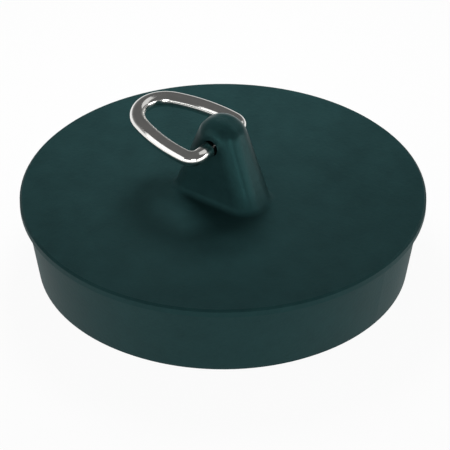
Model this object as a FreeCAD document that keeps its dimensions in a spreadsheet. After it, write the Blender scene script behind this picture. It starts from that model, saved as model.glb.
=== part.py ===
import FreeCAD, Part
import math
import os

import Sketcher

# Sink plug: a rubber moulding with a lug, and a bent wire ring that swings in the lug's eye.
# The origin is the middle of the underside and +Z is up.
# The lug stands along X, its eye runs along Y, and the ring lies towards -X.

# Driving dimensions, in millimetres
SIZES = {
    "plug_height": 9.8,
    "rim_diameter": 47.0,
    "rim_thickness": 0.9,
    "rim_overhang": 0.6,
    "rim_bevel": 0.25,
    "skirt_foot_diameter": 43.0,
    "skirt_foot_bevel": 0.3,
    "recess_depth": 5.6,
    "recess_wall": 3.5,
    "recess_taper": 0.5,
    "recess_bevel": 1.5,
    "lug_length": 11.8,
    "lug_foot_thickness": 5.6,
    "lug_eye_thickness": 4.8,
    "lug_nose_radius": 3.0,
    "lug_edge_flat": 0.3,
    "lug_foot_round": 0.7,
    "eye_height": 7.2,
    "eye_clearance": 0.05,
    "wire_diameter": 1.8,
    "ring_width": 9.6,
    "ring_reach": 10.7,
    "ring_corner_radius": 1.2,
    "ring_strand_radius": 17.0,
    "ring_end_radius": 3.6,
    "ring_end_gap": 0.4,
    "ring_slide": 0.95,
    "overrun": 1.0,
}

# Driving angles, in degrees
ANGLES = {
    "ring_lift": 6.0,
}

# Sizes worked out from the driving ones
WORKED = {
    "rim_radius": "sizes.rim_diameter / 2",
    "rim_underside": "sizes.plug_height - sizes.rim_thickness",
    "skirt_top_radius": "sizes.rim_diameter / 2 - sizes.rim_overhang",
    "skirt_foot_radius": "sizes.skirt_foot_diameter / 2",
    "recess_mouth_radius": "sizes.skirt_foot_diameter / 2 - sizes.recess_wall",
    "recess_floor_radius": "sizes.skirt_foot_diameter / 2 - sizes.recess_wall - sizes.recess_taper",
    "lug_half_length": "sizes.lug_length / 2",
    "lug_foot_half": "sizes.lug_foot_thickness / 2",
    "lug_draft": "(sizes.lug_foot_thickness - sizes.lug_eye_thickness) / 2 / sizes.eye_height",
    "draft_cut_half": "sizes.lug_foot_thickness / 2 + sizes.overrun",
    "draft_cut_top": "sizes.plug_height + sizes.eye_height + sizes.lug_nose_radius + sizes.overrun",
    "lug_top_half": "sizes.lug_eye_thickness / 2 - (sizes.lug_nose_radius + sizes.overrun) * lug_draft",
    "lug_crest_half": "sizes.lug_eye_thickness / 2 - sizes.lug_nose_radius * lug_draft",
    "lug_edge_round": "lug_crest_half - sizes.lug_edge_flat / 2",
    "eye_level": "sizes.plug_height + sizes.eye_height",
    "eye_radius": "sizes.wire_diameter / 2 + sizes.eye_clearance",
    "wire_radius": "sizes.wire_diameter / 2",
    "ring_corner_side": "sizes.ring_width / 2 - sizes.ring_corner_radius",
    "ring_end_centre": "sizes.ring_reach - sizes.ring_end_radius",
    "ring_half_gap": "sizes.ring_end_gap / 2",
}

# How near a measured place has to be to count as the same, as a share of the plug's height
NEAR_SHARE = 0.0001

doc = FreeCAD.newDocument("sink_plug")


def fill_sheet(name, cells, prefix):
    """Makes a spreadsheet whose cells are named after what they hold."""
    sheet = doc.addObject("Spreadsheet::Sheet", name)
    for row, (alias, content) in enumerate(cells.items(), 1):
        sheet.set(f"A{row}", alias)
        sheet.setAlias(f"B{row}", alias)
        sheet.set(f"B{row}", f"{prefix}{content}")
    doc.recompute()
    return sheet


sizes = fill_sheet("sizes", SIZES, "")
angles = fill_sheet("angles", ANGLES, "")
worked = fill_sheet("worked", WORKED, "=")
near = NEAR_SHARE * sizes.plug_height


def cell(alias):
    """The full name of a size, as expressions use it."""
    return f"{'sizes' if alias in SIZES else 'worked'}.{alias}"


def number(alias):
    """The value of a size."""
    return float(getattr(sizes if alias in SIZES else worked, alias))


def new_body(label):
    """Starts one piece, labelled as its file is named."""
    body = doc.addObject("PartDesign::Body", label)
    body.Label = label
    return body


def new_sketch(body, name, role):
    """Starts a sketch on one of the body's own origin planes."""
    sketch = body.newObject("Sketcher::SketchObject", name)
    plane = next(item for item in body.Origin.OriginFeatures if item.Role == role)
    sketch.AttachmentSupport = [(plane, "")]
    sketch.MapMode = "FlatFace"
    return sketch


def bind(sketch, alias, kind, *where):
    """Adds a dimension to a sketch and drives it from the sheets."""
    index = sketch.addConstraint(Sketcher.Constraint(kind, *where, number(alias)))
    sketch.renameConstraint(index, f"{alias}_{index}")
    sketch.setExpression(f"Constraints.{alias}_{index}", cell(alias))


def place(sketch, geometry, point, across, up):
    """Holds a sketch point at two named sizes: a leading minus is the other side, None is the axis."""
    for kind, axis, alias in (("DistanceX", -2, across), ("DistanceY", -1, up)):
        if alias is None:
            sketch.addConstraint(Sketcher.Constraint("PointOnObject", geometry, point, axis))
        elif alias.startswith("-"):
            bind(sketch, alias[1:], kind, geometry, point, -1, 1)
        else:
            bind(sketch, alias, kind, -1, 1, geometry, point)


def signed(alias):
    """The value of a coordinate as place() reads it."""
    if alias is None:
        return 0
    return -number(alias[1:]) if alias.startswith("-") else number(alias)


def join(sketch, kind, first, second, first_point=2, second_point=1):
    """Joins two curves, usually the end of one to the start of the next."""
    sketch.addConstraint(Sketcher.Constraint(kind, first, first_point, second, second_point))


def draw_polygon(sketch, corners):
    """Draws a closed outline of straight lines through corners given as pairs of named sizes."""
    spots = [FreeCAD.Vector(signed(across), signed(up), 0) for across, up in corners]
    lines = [sketch.addGeometry(Part.LineSegment(a, b)) for a, b in zip(spots, spots[1:] + spots[:1])]
    for line, following, (across, up) in zip(lines, lines[1:] + lines[:1], corners):
        place(sketch, line, 1, across, up)
        join(sketch, "Coincident", line, following)


def draw_arc(sketch, centre, radius, start, end):
    """Draws an arc, anticlockwise from start to end, with its radius bound to a named size."""
    circle = Part.Circle(centre, FreeCAD.Vector(0, 0, 1), number(radius))
    arc = sketch.addGeometry(Part.ArcOfCircle(circle, start, end))
    bind(sketch, radius, "Radius", arc)
    return arc


def draw_circle(sketch, across, up, radius):
    """Draws a circle at a named place, of a named radius."""
    centre = FreeCAD.Vector(signed(across), signed(up), 0)
    circle = sketch.addGeometry(Part.Circle(centre, FreeCAD.Vector(0, 0, 1), number(radius)))
    place(sketch, circle, 3, across, up)
    bind(sketch, radius, "Radius", circle)


def dress_edges(body, kind, measure, name, alias, keep):
    """Gives the edges of the body's last feature that keep() picks a fillet or a chamfer."""
    doc.recompute()
    base = body.Tip
    names = [f"Edge{i}" for i, edge in enumerate(base.Shape.Edges, 1) if keep(edge)]
    dressing = body.newObject(kind, name)
    dressing.Base = (base, names)
    dressing.setExpression(measure, cell(alias))
    doc.recompute()


def round_edges(body, name, radius, keep):
    """Rounds edges to a named radius."""
    dress_edges(body, "PartDesign::Fillet", "Radius", name, radius, keep)


def bevel_edges(body, name, width, keep):
    """Bevels edges by a named width."""
    dress_edges(body, "PartDesign::Chamfer", "Size", name, width, keep)


def is_circle(edge, radius, level):
    """Whether an edge is a full circle about Z of this radius at this height."""
    box = edge.BoundBox
    flat = abs(box.ZMin - level) < near and abs(box.ZMax - level) < near
    return flat and abs(box.XMax - radius) < near and abs(box.XMin + radius) < near


def make_disc(body):
    """Turns the disc, its rim, the tapered skirt and the hollow underside."""
    section = new_sketch(body, "plug_section", "XZ_Plane")
    draw_polygon(section, [
        (None, "recess_depth"),
        ("recess_floor_radius", "recess_depth"),
        ("recess_mouth_radius", None),
        ("skirt_foot_radius", None),
        ("skirt_top_radius", "rim_underside"),
        ("rim_radius", "rim_underside"),
        ("rim_radius", "plug_height"),
        (None, "plug_height"),
    ])
    disc = body.newObject("PartDesign::Revolution", "disc")
    disc.Profile = section
    disc.ReferenceAxis = (section, ["V_Axis"])

    def rim_edge(edge):
        return is_circle(edge, number("rim_radius"), number("plug_height"))

    def foot_edge(edge):
        return is_circle(edge, number("skirt_foot_radius"), 0)

    def recess_edge(edge):
        return is_circle(edge, number("recess_floor_radius"), number("recess_depth"))

    bevel_edges(body, "rim_edge_bevel", "rim_bevel", rim_edge)
    bevel_edges(body, "recess_corner_bevel", "recess_bevel", recess_edge)
    bevel_edges(body, "skirt_foot_edge_bevel", "skirt_foot_bevel", foot_edge)


def draw_lug_outline(sketch):
    """Draws the lug from the side: two sloping ends that run into a round nose about the eye."""
    half, foot, level = number("lug_half_length"), number("plug_height"), number("eye_level")
    radius = number("lug_nose_radius")
    nose = FreeCAD.Vector(0, level, 0)
    lean = math.atan2(foot - level, half) + math.acos(radius / math.hypot(half, level - foot))
    touch = FreeCAD.Vector(radius * math.cos(lean), level + radius * math.sin(lean), 0)
    other = FreeCAD.Vector(-touch.x, touch.y, 0)
    left, right = FreeCAD.Vector(-half, foot, 0), FreeCAD.Vector(half, foot, 0)

    base = sketch.addGeometry(Part.LineSegment(left, right))
    right_end = sketch.addGeometry(Part.LineSegment(right, touch))
    arc = draw_arc(sketch, nose, "lug_nose_radius", lean, math.pi - lean)
    left_end = sketch.addGeometry(Part.LineSegment(other, left))
    place(sketch, base, 1, "-lug_half_length", "plug_height")
    place(sketch, base, 2, "lug_half_length", "plug_height")
    place(sketch, arc, 3, None, "eye_level")
    join(sketch, "Coincident", base, right_end)
    join(sketch, "Tangent", right_end, arc)
    join(sketch, "Tangent", arc, left_end)
    join(sketch, "Coincident", left_end, base)


def make_lug(body):
    """Raises the lug on the disc, drafts its two faces, rounds its edges almost fully and pierces the eye."""
    outline = new_sketch(body, "lug_outline", "XZ_Plane")
    draw_lug_outline(outline)
    lug = body.newObject("PartDesign::Pad", "lug")
    lug.Profile = outline
    lug.SideType = "Symmetric"
    lug.setExpression("Length", cell("lug_foot_thickness"))

    faces = new_sketch(body, "lug_draft_section", "YZ_Plane")
    for side in ("", "-"):
        draw_polygon(faces, [
            (f"{side}lug_foot_half", "plug_height"),
            (f"{side}draft_cut_half", "plug_height"),
            (f"{side}draft_cut_half", "draft_cut_top"),
            (f"{side}lug_top_half", "draft_cut_top"),
        ])
    draft = body.newObject("PartDesign::Pocket", "lug_draft_cut")
    draft.Profile = faces
    draft.SideType = "Symmetric"
    draft.setExpression("Length", cell("lug_length"))

    def outline_edge(edge):
        middle = edge.CenterOfMass
        return middle.z > number("plug_height") + near and abs(middle.y) > number("eye_radius")

    def foot_edge(edge):
        box = edge.BoundBox
        level = abs(box.ZMin - number("plug_height")) < near and abs(box.ZMax - number("plug_height")) < near
        return level and box.XMax < number("lug_half_length") + near

    round_edges(body, "lug_edge_rounds", "lug_edge_round", outline_edge)
    round_edges(body, "lug_foot_rounds", "lug_foot_round", foot_edge)

    mouth = new_sketch(body, "eye_section", "XZ_Plane")
    draw_circle(mouth, None, "eye_level", "eye_radius")
    eye = body.newObject("PartDesign::Pocket", "eye")
    eye.Profile = mouth
    eye.SideType = "Symmetric"
    eye.setExpression("Length", cell("rim_diameter"))


def touching_centre(first, first_radius, second, second_radius):
    """The middle of an arc round two arcs, on the far side of the line between their middles."""
    between = second - first
    along = (first_radius ** 2 - second_radius ** 2 + between.Length ** 2) / 2 / between.Length
    across = math.sqrt(first_radius ** 2 - along ** 2)
    ahead = between / between.Length
    return first + ahead * along + FreeCAD.Vector(-ahead.y, ahead.x, 0) * across


def draw_ring_path(sketch):
    """Draws the wire's middle line: straight in the eye, two corners, two bowed strands and a round end."""
    corner_radius, end_radius = number("ring_corner_radius"), number("ring_end_radius")
    strand_radius = number("ring_strand_radius")
    far_end = FreeCAD.Vector(-number("ring_end_centre"), 0, 0)
    upper_corner = FreeCAD.Vector(-corner_radius, number("ring_corner_side"), 0)
    upper_strand = touching_centre(
        upper_corner, strand_radius - corner_radius, far_end, strand_radius - end_radius)
    to_corner, to_end = upper_corner - upper_strand, far_end - upper_strand
    corner_turn, end_turn = math.atan2(to_corner.y, to_corner.x), math.atan2(to_end.y, to_end.x)

    end = draw_arc(sketch, far_end, "ring_end_radius", end_turn, 2 * math.pi - end_turn)
    place(sketch, end, 3, "-ring_end_centre", None)
    for side, mark in ((1, ""), (-1, "-")):
        corner = FreeCAD.Vector(upper_corner.x, side * upper_corner.y, 0)
        strand_centre = FreeCAD.Vector(upper_strand.x, side * upper_strand.y, 0)
        inner = FreeCAD.Vector(0, side * number("ring_half_gap"), 0)
        outer = FreeCAD.Vector(0, corner.y, 0)
        straight = sketch.addGeometry(Part.LineSegment(inner, outer))
        bend = draw_arc(sketch, corner, "ring_corner_radius", *sorted((0, side * corner_turn)))
        strand = draw_arc(
            sketch, strand_centre, "ring_strand_radius", *sorted((side * corner_turn, side * end_turn)))
        place(sketch, straight, 1, None, f"{mark}ring_half_gap")
        place(sketch, straight, 2, None, f"{mark}ring_corner_side")
        # An arc runs anticlockwise, so on the other side it is met at its other end
        entry, leave = (1, 2) if side > 0 else (2, 1)
        join(sketch, "Tangent", straight, bend, 2, entry)
        join(sketch, "Tangent", bend, strand, leave, entry)
        join(sketch, "Tangent", strand, end, leave, entry)


def make_ring(body):
    """Bends the wire along its path, then slides it along the eye and lifts its end a little."""
    path = new_sketch(body, "ring_path", "XY_Plane")
    draw_ring_path(path)
    section = new_sketch(body, "wire_section", "XZ_Plane")
    section.setExpression("AttachmentOffset.Base.z", f"-{cell('ring_half_gap')}")
    draw_circle(section, None, None, "wire_radius")
    doc.recompute()
    wire = body.newObject("PartDesign::AdditivePipe", "wire")
    wire.Profile = section
    wire.Spine = path
    body.Placement = FreeCAD.Placement(
        FreeCAD.Vector(0, 0, 0), FreeCAD.Rotation(FreeCAD.Vector(0, 1, 0), angles.ring_lift))
    body.setExpression("Placement.Base.y", f"-{cell('ring_slide')}")
    body.setExpression("Placement.Base.z", cell("eye_level"))
    body.setExpression("Placement.Rotation.Angle", "angles.ring_lift * 1 deg")


plug_body = new_body("plug_body")
make_disc(plug_body)
make_lug(plug_body)

pull_ring = new_body("pull_ring")
make_ring(pull_ring)
doc.recompute()

for item in doc.Objects:
    if "Invalid" in item.State or "Error" in item.State:
        raise RuntimeError(f"{item.Label} failed: {item.State}")
for piece in (plug_body, pull_ring):
    if piece.Shape.isNull() or not piece.Shape.isValid() or len(piece.Shape.Solids) != 1:
        raise RuntimeError(f"{piece.Label} is not one valid solid")

wire_length = sum(edge.Length for edge in doc.ring_path.Shape.Edges)
wire_volume = math.pi * number("wire_radius") ** 2 * wire_length
print("wire", round(wire_length, 2), "mm long, volume", round(pull_ring.Shape.Volume / wire_volume, 4), "of it")

os.makedirs("parts", exist_ok=True)
for piece in (plug_body, pull_ring):
    piece.Shape.exportStep(f"parts/{piece.Label}.step")
    box = piece.Shape.BoundBox
    print(piece.Label, round(piece.Shape.Volume, 2), "mm3", [round(edge, 3) for edge in
          (box.XMin, box.XMax, box.YMin, box.YMax, box.ZMin, box.ZMax)])
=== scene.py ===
# %% [markdown]
# # A rubber sink plug with a pull ring
# A sink plug is two pieces: a black rubber moulding and a loop of bright wire that swings in its
# lug. Both come from the CAD model, which is loaded here as a fixed frame. This lesson bends the
# ring once more in finer steps, and gives the plug its finishes, its light and its camera.

# %% Load the plug
import math

import bmesh
import bpy
from mathutils import Matrix, Vector


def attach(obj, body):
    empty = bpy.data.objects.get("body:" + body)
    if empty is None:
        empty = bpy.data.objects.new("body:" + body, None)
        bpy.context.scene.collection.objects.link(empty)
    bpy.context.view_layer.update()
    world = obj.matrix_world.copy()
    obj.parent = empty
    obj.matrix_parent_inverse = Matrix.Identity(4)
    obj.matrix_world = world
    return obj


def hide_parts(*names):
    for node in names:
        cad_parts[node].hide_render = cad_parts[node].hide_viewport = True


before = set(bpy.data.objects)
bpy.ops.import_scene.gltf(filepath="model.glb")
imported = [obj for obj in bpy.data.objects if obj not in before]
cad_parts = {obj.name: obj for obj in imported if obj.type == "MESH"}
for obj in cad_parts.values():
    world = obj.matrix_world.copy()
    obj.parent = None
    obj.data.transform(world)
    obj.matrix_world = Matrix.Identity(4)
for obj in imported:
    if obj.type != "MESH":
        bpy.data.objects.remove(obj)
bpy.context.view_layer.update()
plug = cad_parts["plug_body"]
scene = bpy.context.scene
scene.view_settings.view_transform = "Standard"


def in_mm(points):
    """The points' coordinates in millimetres, in one list to print."""
    return [round(1000 * edge, 2) for point in points for edge in point]


# %% [markdown]
# ## The camera
# The photograph looks down on the plug from the front right, from far enough off that the rim is
# almost a plain ellipse. A long lens well away from the plug gives that calm perspective, where a
# short lens close up would stretch the near side. Blender takes a lens and its sensor in
# millimetres, and every other length here is in metres.

# %% Place the camera
turn, climb = math.radians(36.5), math.radians(34.6)
lens, sensor, camera_distance = 276.8, 36, 0.4
aim_right, aim_down = 0.00023, 0.0039
disc_top = Vector((0, 0, 0.0098))

flat = math.cos(climb)
back = Vector((math.sin(turn) * flat, -math.cos(turn) * flat, math.sin(climb)))
right = Vector((math.cos(turn), math.sin(turn), 0))
up = back.cross(right)
aim = disc_top + right * aim_right - up * aim_down
camera_data = bpy.data.cameras.new("camera")
camera_data.lens, camera_data.sensor_width = lens, sensor
camera_data.clip_start, camera_data.clip_end = 0.01, 20
camera = bpy.data.objects.new("camera", camera_data)
camera.location = aim + back * camera_distance
camera.rotation_mode = "QUATERNION"
camera.rotation_quaternion = back.to_track_quat("Z", "Y")
scene.collection.objects.link(camera)
scene.camera = camera
print("camera at", in_mm([camera.location]), "mm")

# %% [markdown]
# ## The pull ring
# On the real plug a length of plated wire is bent round pegs until its two ends meet inside the
# lug's eye. A curve with a bevel would draw it too, but a spin is the same move as the bending: the
# wire's round section is swung about one peg after the other. The pegs stand where the CAD ring has
# its arcs, and the fine steps give the smooth reflections that the CAD model's few facets can't.

# %% Set out the pegs
wire_radius, end_gap = 0.0009, 0.0004
half_width, outer_reach = 0.0048, 0.0107
corner_bend, strand_bend, end_bend = 0.0012, 0.0170, 0.0036

corner_peg = Vector((-corner_bend, half_width - corner_bend, 0))
end_peg = Vector((end_bend - outer_reach, 0, 0))
span = end_peg - corner_peg
reach = strand_bend - corner_bend
along = (reach ** 2 - (strand_bend - end_bend) ** 2 + span.length ** 2) / (2 * span.length)
across = math.sqrt(reach ** 2 - along ** 2)
ahead = span.normalized()
strand_peg = corner_peg + ahead * along + Vector((-ahead.y, ahead.x, 0)) * across
to_corner, to_end = corner_peg - strand_peg, end_peg - strand_peg
corner_turn = math.atan2(to_corner.y, to_corner.x)
end_turn = math.atan2(to_end.y, to_end.x)
print("corner bends through", round(math.degrees(corner_turn), 1), "degrees")


# %% Two moves for the wire
def swing(shape, edges, peg, angle, steps):
    """Swings the wire's open end about a peg and returns the new open end."""
    made = bmesh.ops.spin(shape, geom=edges, cent=peg, axis=(0, 0, 1), angle=angle, steps=steps)
    return [item for item in made["geom_last"] if isinstance(item, bmesh.types.BMEdge)]


def draw_out(shape, edges, shift):
    """Draws the wire's open end straight on and returns the new open end."""
    made = bmesh.ops.extrude_edge_only(shape, edges=edges)["geom"]
    tip = [item for item in made if isinstance(item, bmesh.types.BMVert)]
    bmesh.ops.translate(shape, vec=shift, verts=tip)
    return [item for item in made if isinstance(item, bmesh.types.BMEdge) and item.is_boundary]


print("the wire can be swung and drawn out")

# %% Bend the wire
round_steps, corner_steps, strand_steps, end_steps = 64, 20, 24, 48
other_side = Vector((1, -1, 1))
straight = Vector((0, corner_peg.y - end_gap / 2, 0))
strand_turn = end_turn - corner_turn

shape = bmesh.new()
facing = Matrix.Translation((0, end_gap / 2, 0)) @ Matrix.Rotation(math.pi / 2, 4, "X")
bmesh.ops.create_circle(shape, cap_ends=True, segments=round_steps, radius=wire_radius,
                        matrix=facing)
end = draw_out(shape, shape.edges[:], straight)
end = swing(shape, end, corner_peg, corner_turn, corner_steps)
end = swing(shape, end, strand_peg, strand_turn, strand_steps)
end = swing(shape, end, end_peg, 2 * (math.pi - end_turn), end_steps)
end = swing(shape, end, strand_peg * other_side, strand_turn, strand_steps)
end = swing(shape, end, corner_peg * other_side, corner_turn, corner_steps)
end = draw_out(shape, end, straight)
bmesh.ops.edgeloop_fill(shape, edges=end)
bmesh.ops.recalc_face_normals(shape, faces=shape.faces)
print("wire bent,", len(shape.faces), "faces")

# %% [markdown]
# ## The ring in its eye
# The ring lies a little raised and slipped to one side, as a loose ring does. Turning the object
# would do, but the place goes into the mesh, so that the ring's object sits at the origin as the
# CAD model's do. Only the wire's four-sided faces are shaded smooth, so its cut ends stay flat.

# %% Hang the ring in the eye
eye_height, side_slip, raised = 0.0170, 0.00095, math.radians(6)

hang = Matrix.Translation((0, -side_slip, eye_height)) @ Matrix.Rotation(raised, 4, "Y")
bmesh.ops.transform(shape, matrix=hang, verts=shape.verts)
for face in shape.faces:
    face.smooth = len(face.verts) == 4
ring_mesh = bpy.data.meshes.new("wire_ring")
shape.to_mesh(ring_mesh)
shape.free()
ring = bpy.data.objects.new("wire_ring", ring_mesh)
scene.collection.objects.link(ring)
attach(ring, "ring")
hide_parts("pull_ring")

# %% [markdown]
# ## Tools for the finishes
# Each finish is one Principled shader whose colour, roughness and surface follow a noise. The nodes
# could be placed by hand in the editor, but a few helpers keep a finish down to what is its own.
# The patterns read Object coordinates, which are metres on the piece, so they stay on it when it
# moves.


# %% Start a material
def new_material(name):
    """An empty material with a Principled shader and Object coordinates."""
    material = bpy.data.materials.new(name)
    material.use_nodes = True
    nodes, links = material.node_tree.nodes, material.node_tree.links
    nodes.clear()
    output = nodes.new("ShaderNodeOutputMaterial")
    shader = nodes.new("ShaderNodeBsdfPrincipled")
    links.new(shader.outputs["BSDF"], output.inputs["Surface"])
    place = nodes.new("ShaderNodeTexCoord")
    return material, nodes, links, shader, place.outputs["Object"]


def noise(nodes, links, place, scale, detail, roughness):
    """A noise pattern of a given grain."""
    node = nodes.new("ShaderNodeTexNoise")
    node.inputs["Scale"].default_value = scale
    node.inputs["Detail"].default_value = detail
    node.inputs["Roughness"].default_value = roughness
    links.new(place, node.inputs["Vector"])
    return node.outputs["Fac"]


print("a material can be started and given a noise")


# %% Turn a value into a finish
def ramp(nodes, links, value, stops):
    """Turns a value into colours: stops are pairs of a place and a colour."""
    node = nodes.new("ShaderNodeValToRGB")
    points = node.color_ramp.elements
    while len(points) < len(stops):
        points.new(0.5)
    for point, (at, colour) in zip(points, stops):
        point.position = at
        point.color = (*colour, 1)
    links.new(value, node.inputs["Fac"])
    return node.outputs["Color"]


def spread(nodes, links, value, given, wanted):
    """Spreads a value from the range it is given in over the range that is wanted."""
    node = nodes.new("ShaderNodeMapRange")
    for name, number in zip(("From Min", "From Max", "To Min", "To Max"), (*given, *wanted)):
        node.inputs[name].default_value = number
    links.new(value, node.inputs["Value"])
    return node.outputs["Result"]


def join(nodes, links, operation, first, second):
    """Joins two values by one operation of a Math node."""
    node = nodes.new("ShaderNodeMath")
    node.operation = operation
    links.new(first, node.inputs[0])
    links.new(second, node.inputs[1])
    return node.outputs["Value"]


def bump(nodes, links, value, strength, distance):
    """A bump from a height."""
    node = nodes.new("ShaderNodeBump")
    node.inputs["Strength"].default_value = strength
    node.inputs["Distance"].default_value = distance
    links.new(value, node.inputs["Height"])
    return node.outputs["Normal"]


print("values can be coloured, spread, joined and raised")

# %% [markdown]
# ## Black rubber
# Moulded rubber is nearly black with a cool cast. Its skin carries a faint bloom and the fine grain
# of the mould, and on the lug, where fingers take hold of it, it is rubbed smoother. One colour
# with one roughness would look like paint, so a broad noise drifts the colour and the sheen, a fine
# one breaks the surface, and the height above the disc smooths the lug.

# %% Colour the rubber
deep, pale = (0.0076, 0.0235, 0.0245), (0.0136, 0.0395, 0.0405)

rubber, nodes, links, shader, place = new_material("moulded_rubber")
bloom = noise(nodes, links, place, scale=160, detail=8, roughness=0.85)
links.new(ramp(nodes, links, bloom, [(0.3, deep), (0.7, pale)]), shader.inputs["Base Color"])
shader.inputs["IOR"].default_value = 1.28
shader.inputs["Specular Tint"].default_value = (0.3, 1.0, 1.0, 1)
print("rubber coloured from", deep, "to", pale)

# %% Give the rubber its skin
noise_range = (0.25, 0.75)
rubbed_heights = (disc_top.z + 0.0003, disc_top.z + 0.0022)
most_rubbed = 0.26

split = nodes.new("ShaderNodeSeparateXYZ")
links.new(place, split.inputs["Vector"])
rubbed = spread(nodes, links, split.outputs["Z"], rubbed_heights, (0, most_rubbed))
moulded = spread(nodes, links, bloom, noise_range, (0.54, 0.62))
links.new(join(nodes, links, "SUBTRACT", moulded, rubbed), shader.inputs["Roughness"])
grain = noise(nodes, links, place, scale=2600, detail=2, roughness=0.5)
links.new(bump(nodes, links, grain, strength=0.35, distance=0.00006), shader.inputs["Normal"])
plug.data.materials.clear()
plug.data.materials.append(rubber)
print("rubber on", plug.name, len(plug.data.polygons), "faces")

# %% [markdown]
# ## Bright wire
# The ring is plated steel wire. Fine marks from the die could be drawn along it, but at this size
# they don't show: it mostly mirrors what stands around it, white walls and the dark rubber below.
# So one noise only drifts its polish a little.

# %% Make the wire
dull, clear = (0.82, 0.82, 0.79), (0.90, 0.89, 0.86)

wire, nodes, links, shader, place = new_material("plated_wire")
cloud = noise(nodes, links, place, scale=900, detail=3, roughness=0.5)
links.new(ramp(nodes, links, cloud, [(0.3, dull), (0.7, clear)]), shader.inputs["Base Color"])
links.new(spread(nodes, links, cloud, noise_range, (0.10, 0.18)), shader.inputs["Roughness"])
links.new(bump(nodes, links, cloud, strength=0.05, distance=0.00003), shader.inputs["Normal"])
shader.inputs["Metallic"].default_value = 1
ring.data.materials.append(wire)
print("wire on", ring.name, len(ring.data.polygons), "faces")

# %% [markdown]
# ## The floor
# The plug stands on a plain white sheet that fades into a white background. More light would whiten
# the sheet too, but it would also bleach the plug. So the sheet shows white to the camera and to
# mirrors, and only a little of its shading is mixed in, which leaves the shadow. It lies a hair
# below the plug's foot, because two faces in one plane flicker.

# %% Lay the floor
sheet_size, sheet_drop = 6, 0.00005

bpy.ops.mesh.primitive_plane_add(size=sheet_size, location=(0, 0, -sheet_drop))
floor = bpy.context.object
floor.name = "floor"
print("floor laid,", sheet_size, "m across")

# %% Whiten the floor
sheet_grey, shadow_share = 0.7, 0.05

sheet = bpy.data.materials.new("white_sheet")
sheet.use_nodes = True
nodes, links = sheet.node_tree.nodes, sheet.node_tree.links
nodes.clear()
output = nodes.new("ShaderNodeOutputMaterial")
shaded = nodes.new("ShaderNodeBsdfDiffuse")
shaded.inputs["Color"].default_value = (sheet_grey, sheet_grey, sheet_grey, 1)
white = nodes.new("ShaderNodeEmission")
white.inputs["Color"].default_value = (1, 1, 1, 1)
white.inputs["Strength"].default_value = 1
ray = nodes.new("ShaderNodeLightPath").outputs
mirrored = join(nodes, links, "MAXIMUM", ray["Is Glossy Ray"], ray["Is Transmission Ray"])
seen = join(nodes, links, "MAXIMUM", ray["Is Camera Ray"], mirrored)
mix = nodes.new("ShaderNodeMixShader")
links.new(spread(nodes, links, seen, (0, 1), (0, 1 - shadow_share)), mix.inputs["Fac"])
links.new(shaded.outputs["BSDF"], mix.inputs[1])
links.new(white.outputs["Emission"], mix.inputs[2])
links.new(mix.outputs["Shader"], output.inputs["Surface"])
floor.data.materials.append(sheet)
print("floor white, with", shadow_share, "of its shading")

# %% [markdown]
# ## The surroundings
# Bright wire shows the room it is in. A picture of a studio could be wrapped round the scene, but
# greys that change with the height are enough here: pale walls near the floor, and a dark ceiling
# that keeps the rubber's top deep.

# %% Set the surroundings
greys = [(0.0, 0.60), (0.10, 0.40), (0.25, 0.15), (0.5, 0.11), (1.0, 0.12)]

world = bpy.data.worlds.new("white_room")
scene.world = world
world.use_nodes = True
nodes, links = world.node_tree.nodes, world.node_tree.links
nodes.clear()
output = nodes.new("ShaderNodeOutputWorld")
room = nodes.new("ShaderNodeBackground")
sky = nodes.new("ShaderNodeTexCoord")
split = nodes.new("ShaderNodeSeparateXYZ")
links.new(sky.outputs["Generated"], split.inputs["Vector"])
stops = [(at, (grey, grey, grey)) for at, grey in greys]
links.new(ramp(nodes, links, split.outputs["Z"], stops), room.inputs["Color"])
room.inputs["Strength"].default_value = 1
links.new(room.outputs["Background"], output.inputs["Surface"])
print("surroundings set in", len(greys), "greys")

# %% [markdown]
# ## The lamps
# The plug's shadow falls towards the camera and ends close to the lug, so the key lamp stands
# behind it, half way up and near. It is kept out of mirrors, because on the ring it would be one
# hard white line. Large low boxes in front and at the sides stand in for white walls: they put the
# white bands on the wire and lift the lug's end without filling the shadow.


# %% Build a soft box
def soft_box(name, azimuth, elevation, distance, width, height, glow):
    """A soft box that faces the plug, as bright as a white sheet times its glow."""
    azimuth, elevation = math.radians(azimuth), math.radians(elevation)
    flat = math.cos(elevation)
    direction = Vector((math.cos(azimuth) * flat, math.sin(azimuth) * flat, math.sin(elevation)))
    data = bpy.data.lights.new(name, "AREA")
    data.shape = "RECTANGLE"
    data.size, data.size_y = width, height
    data.energy = glow * math.pi * width * height
    lamp = bpy.data.objects.new(name, data)
    lamp.location = disc_top + direction * distance
    lamp.rotation_mode = "QUATERNION"
    lamp.rotation_quaternion = direction.to_track_quat("Z", "Y")
    lamp.visible_camera = False
    scene.collection.objects.link(lamp)
    return lamp


print("soft boxes can be built")

# %% Hang the lamps
key = soft_box("key_lamp", azimuth=133, elevation=53, distance=0.075, width=0.03, height=0.03,
               glow=22)
key.visible_glossy = False
wall_distance = 0.30
walls = [  # name, azimuth, elevation, width, height, glow
    ("front_left_box", 240, 16, 0.28, 0.20, 1.1),
    ("front_strip", 280, 4, 0.30, 0.05, 3.3),
    ("front_right_box", 325, 11, 0.12, 0.12, 4.2),
    ("right_box", 20, 5, 0.34, 0.08, 3.6),
    ("back_right_card", 70, 40, 0.20, 0.20, 0.6),
]
for name, azimuth, elevation, width, height, glow in walls:
    soft_box(name, azimuth, elevation, wall_distance, width, height, glow)
print("key lamp and", len(walls), "boxes hung")
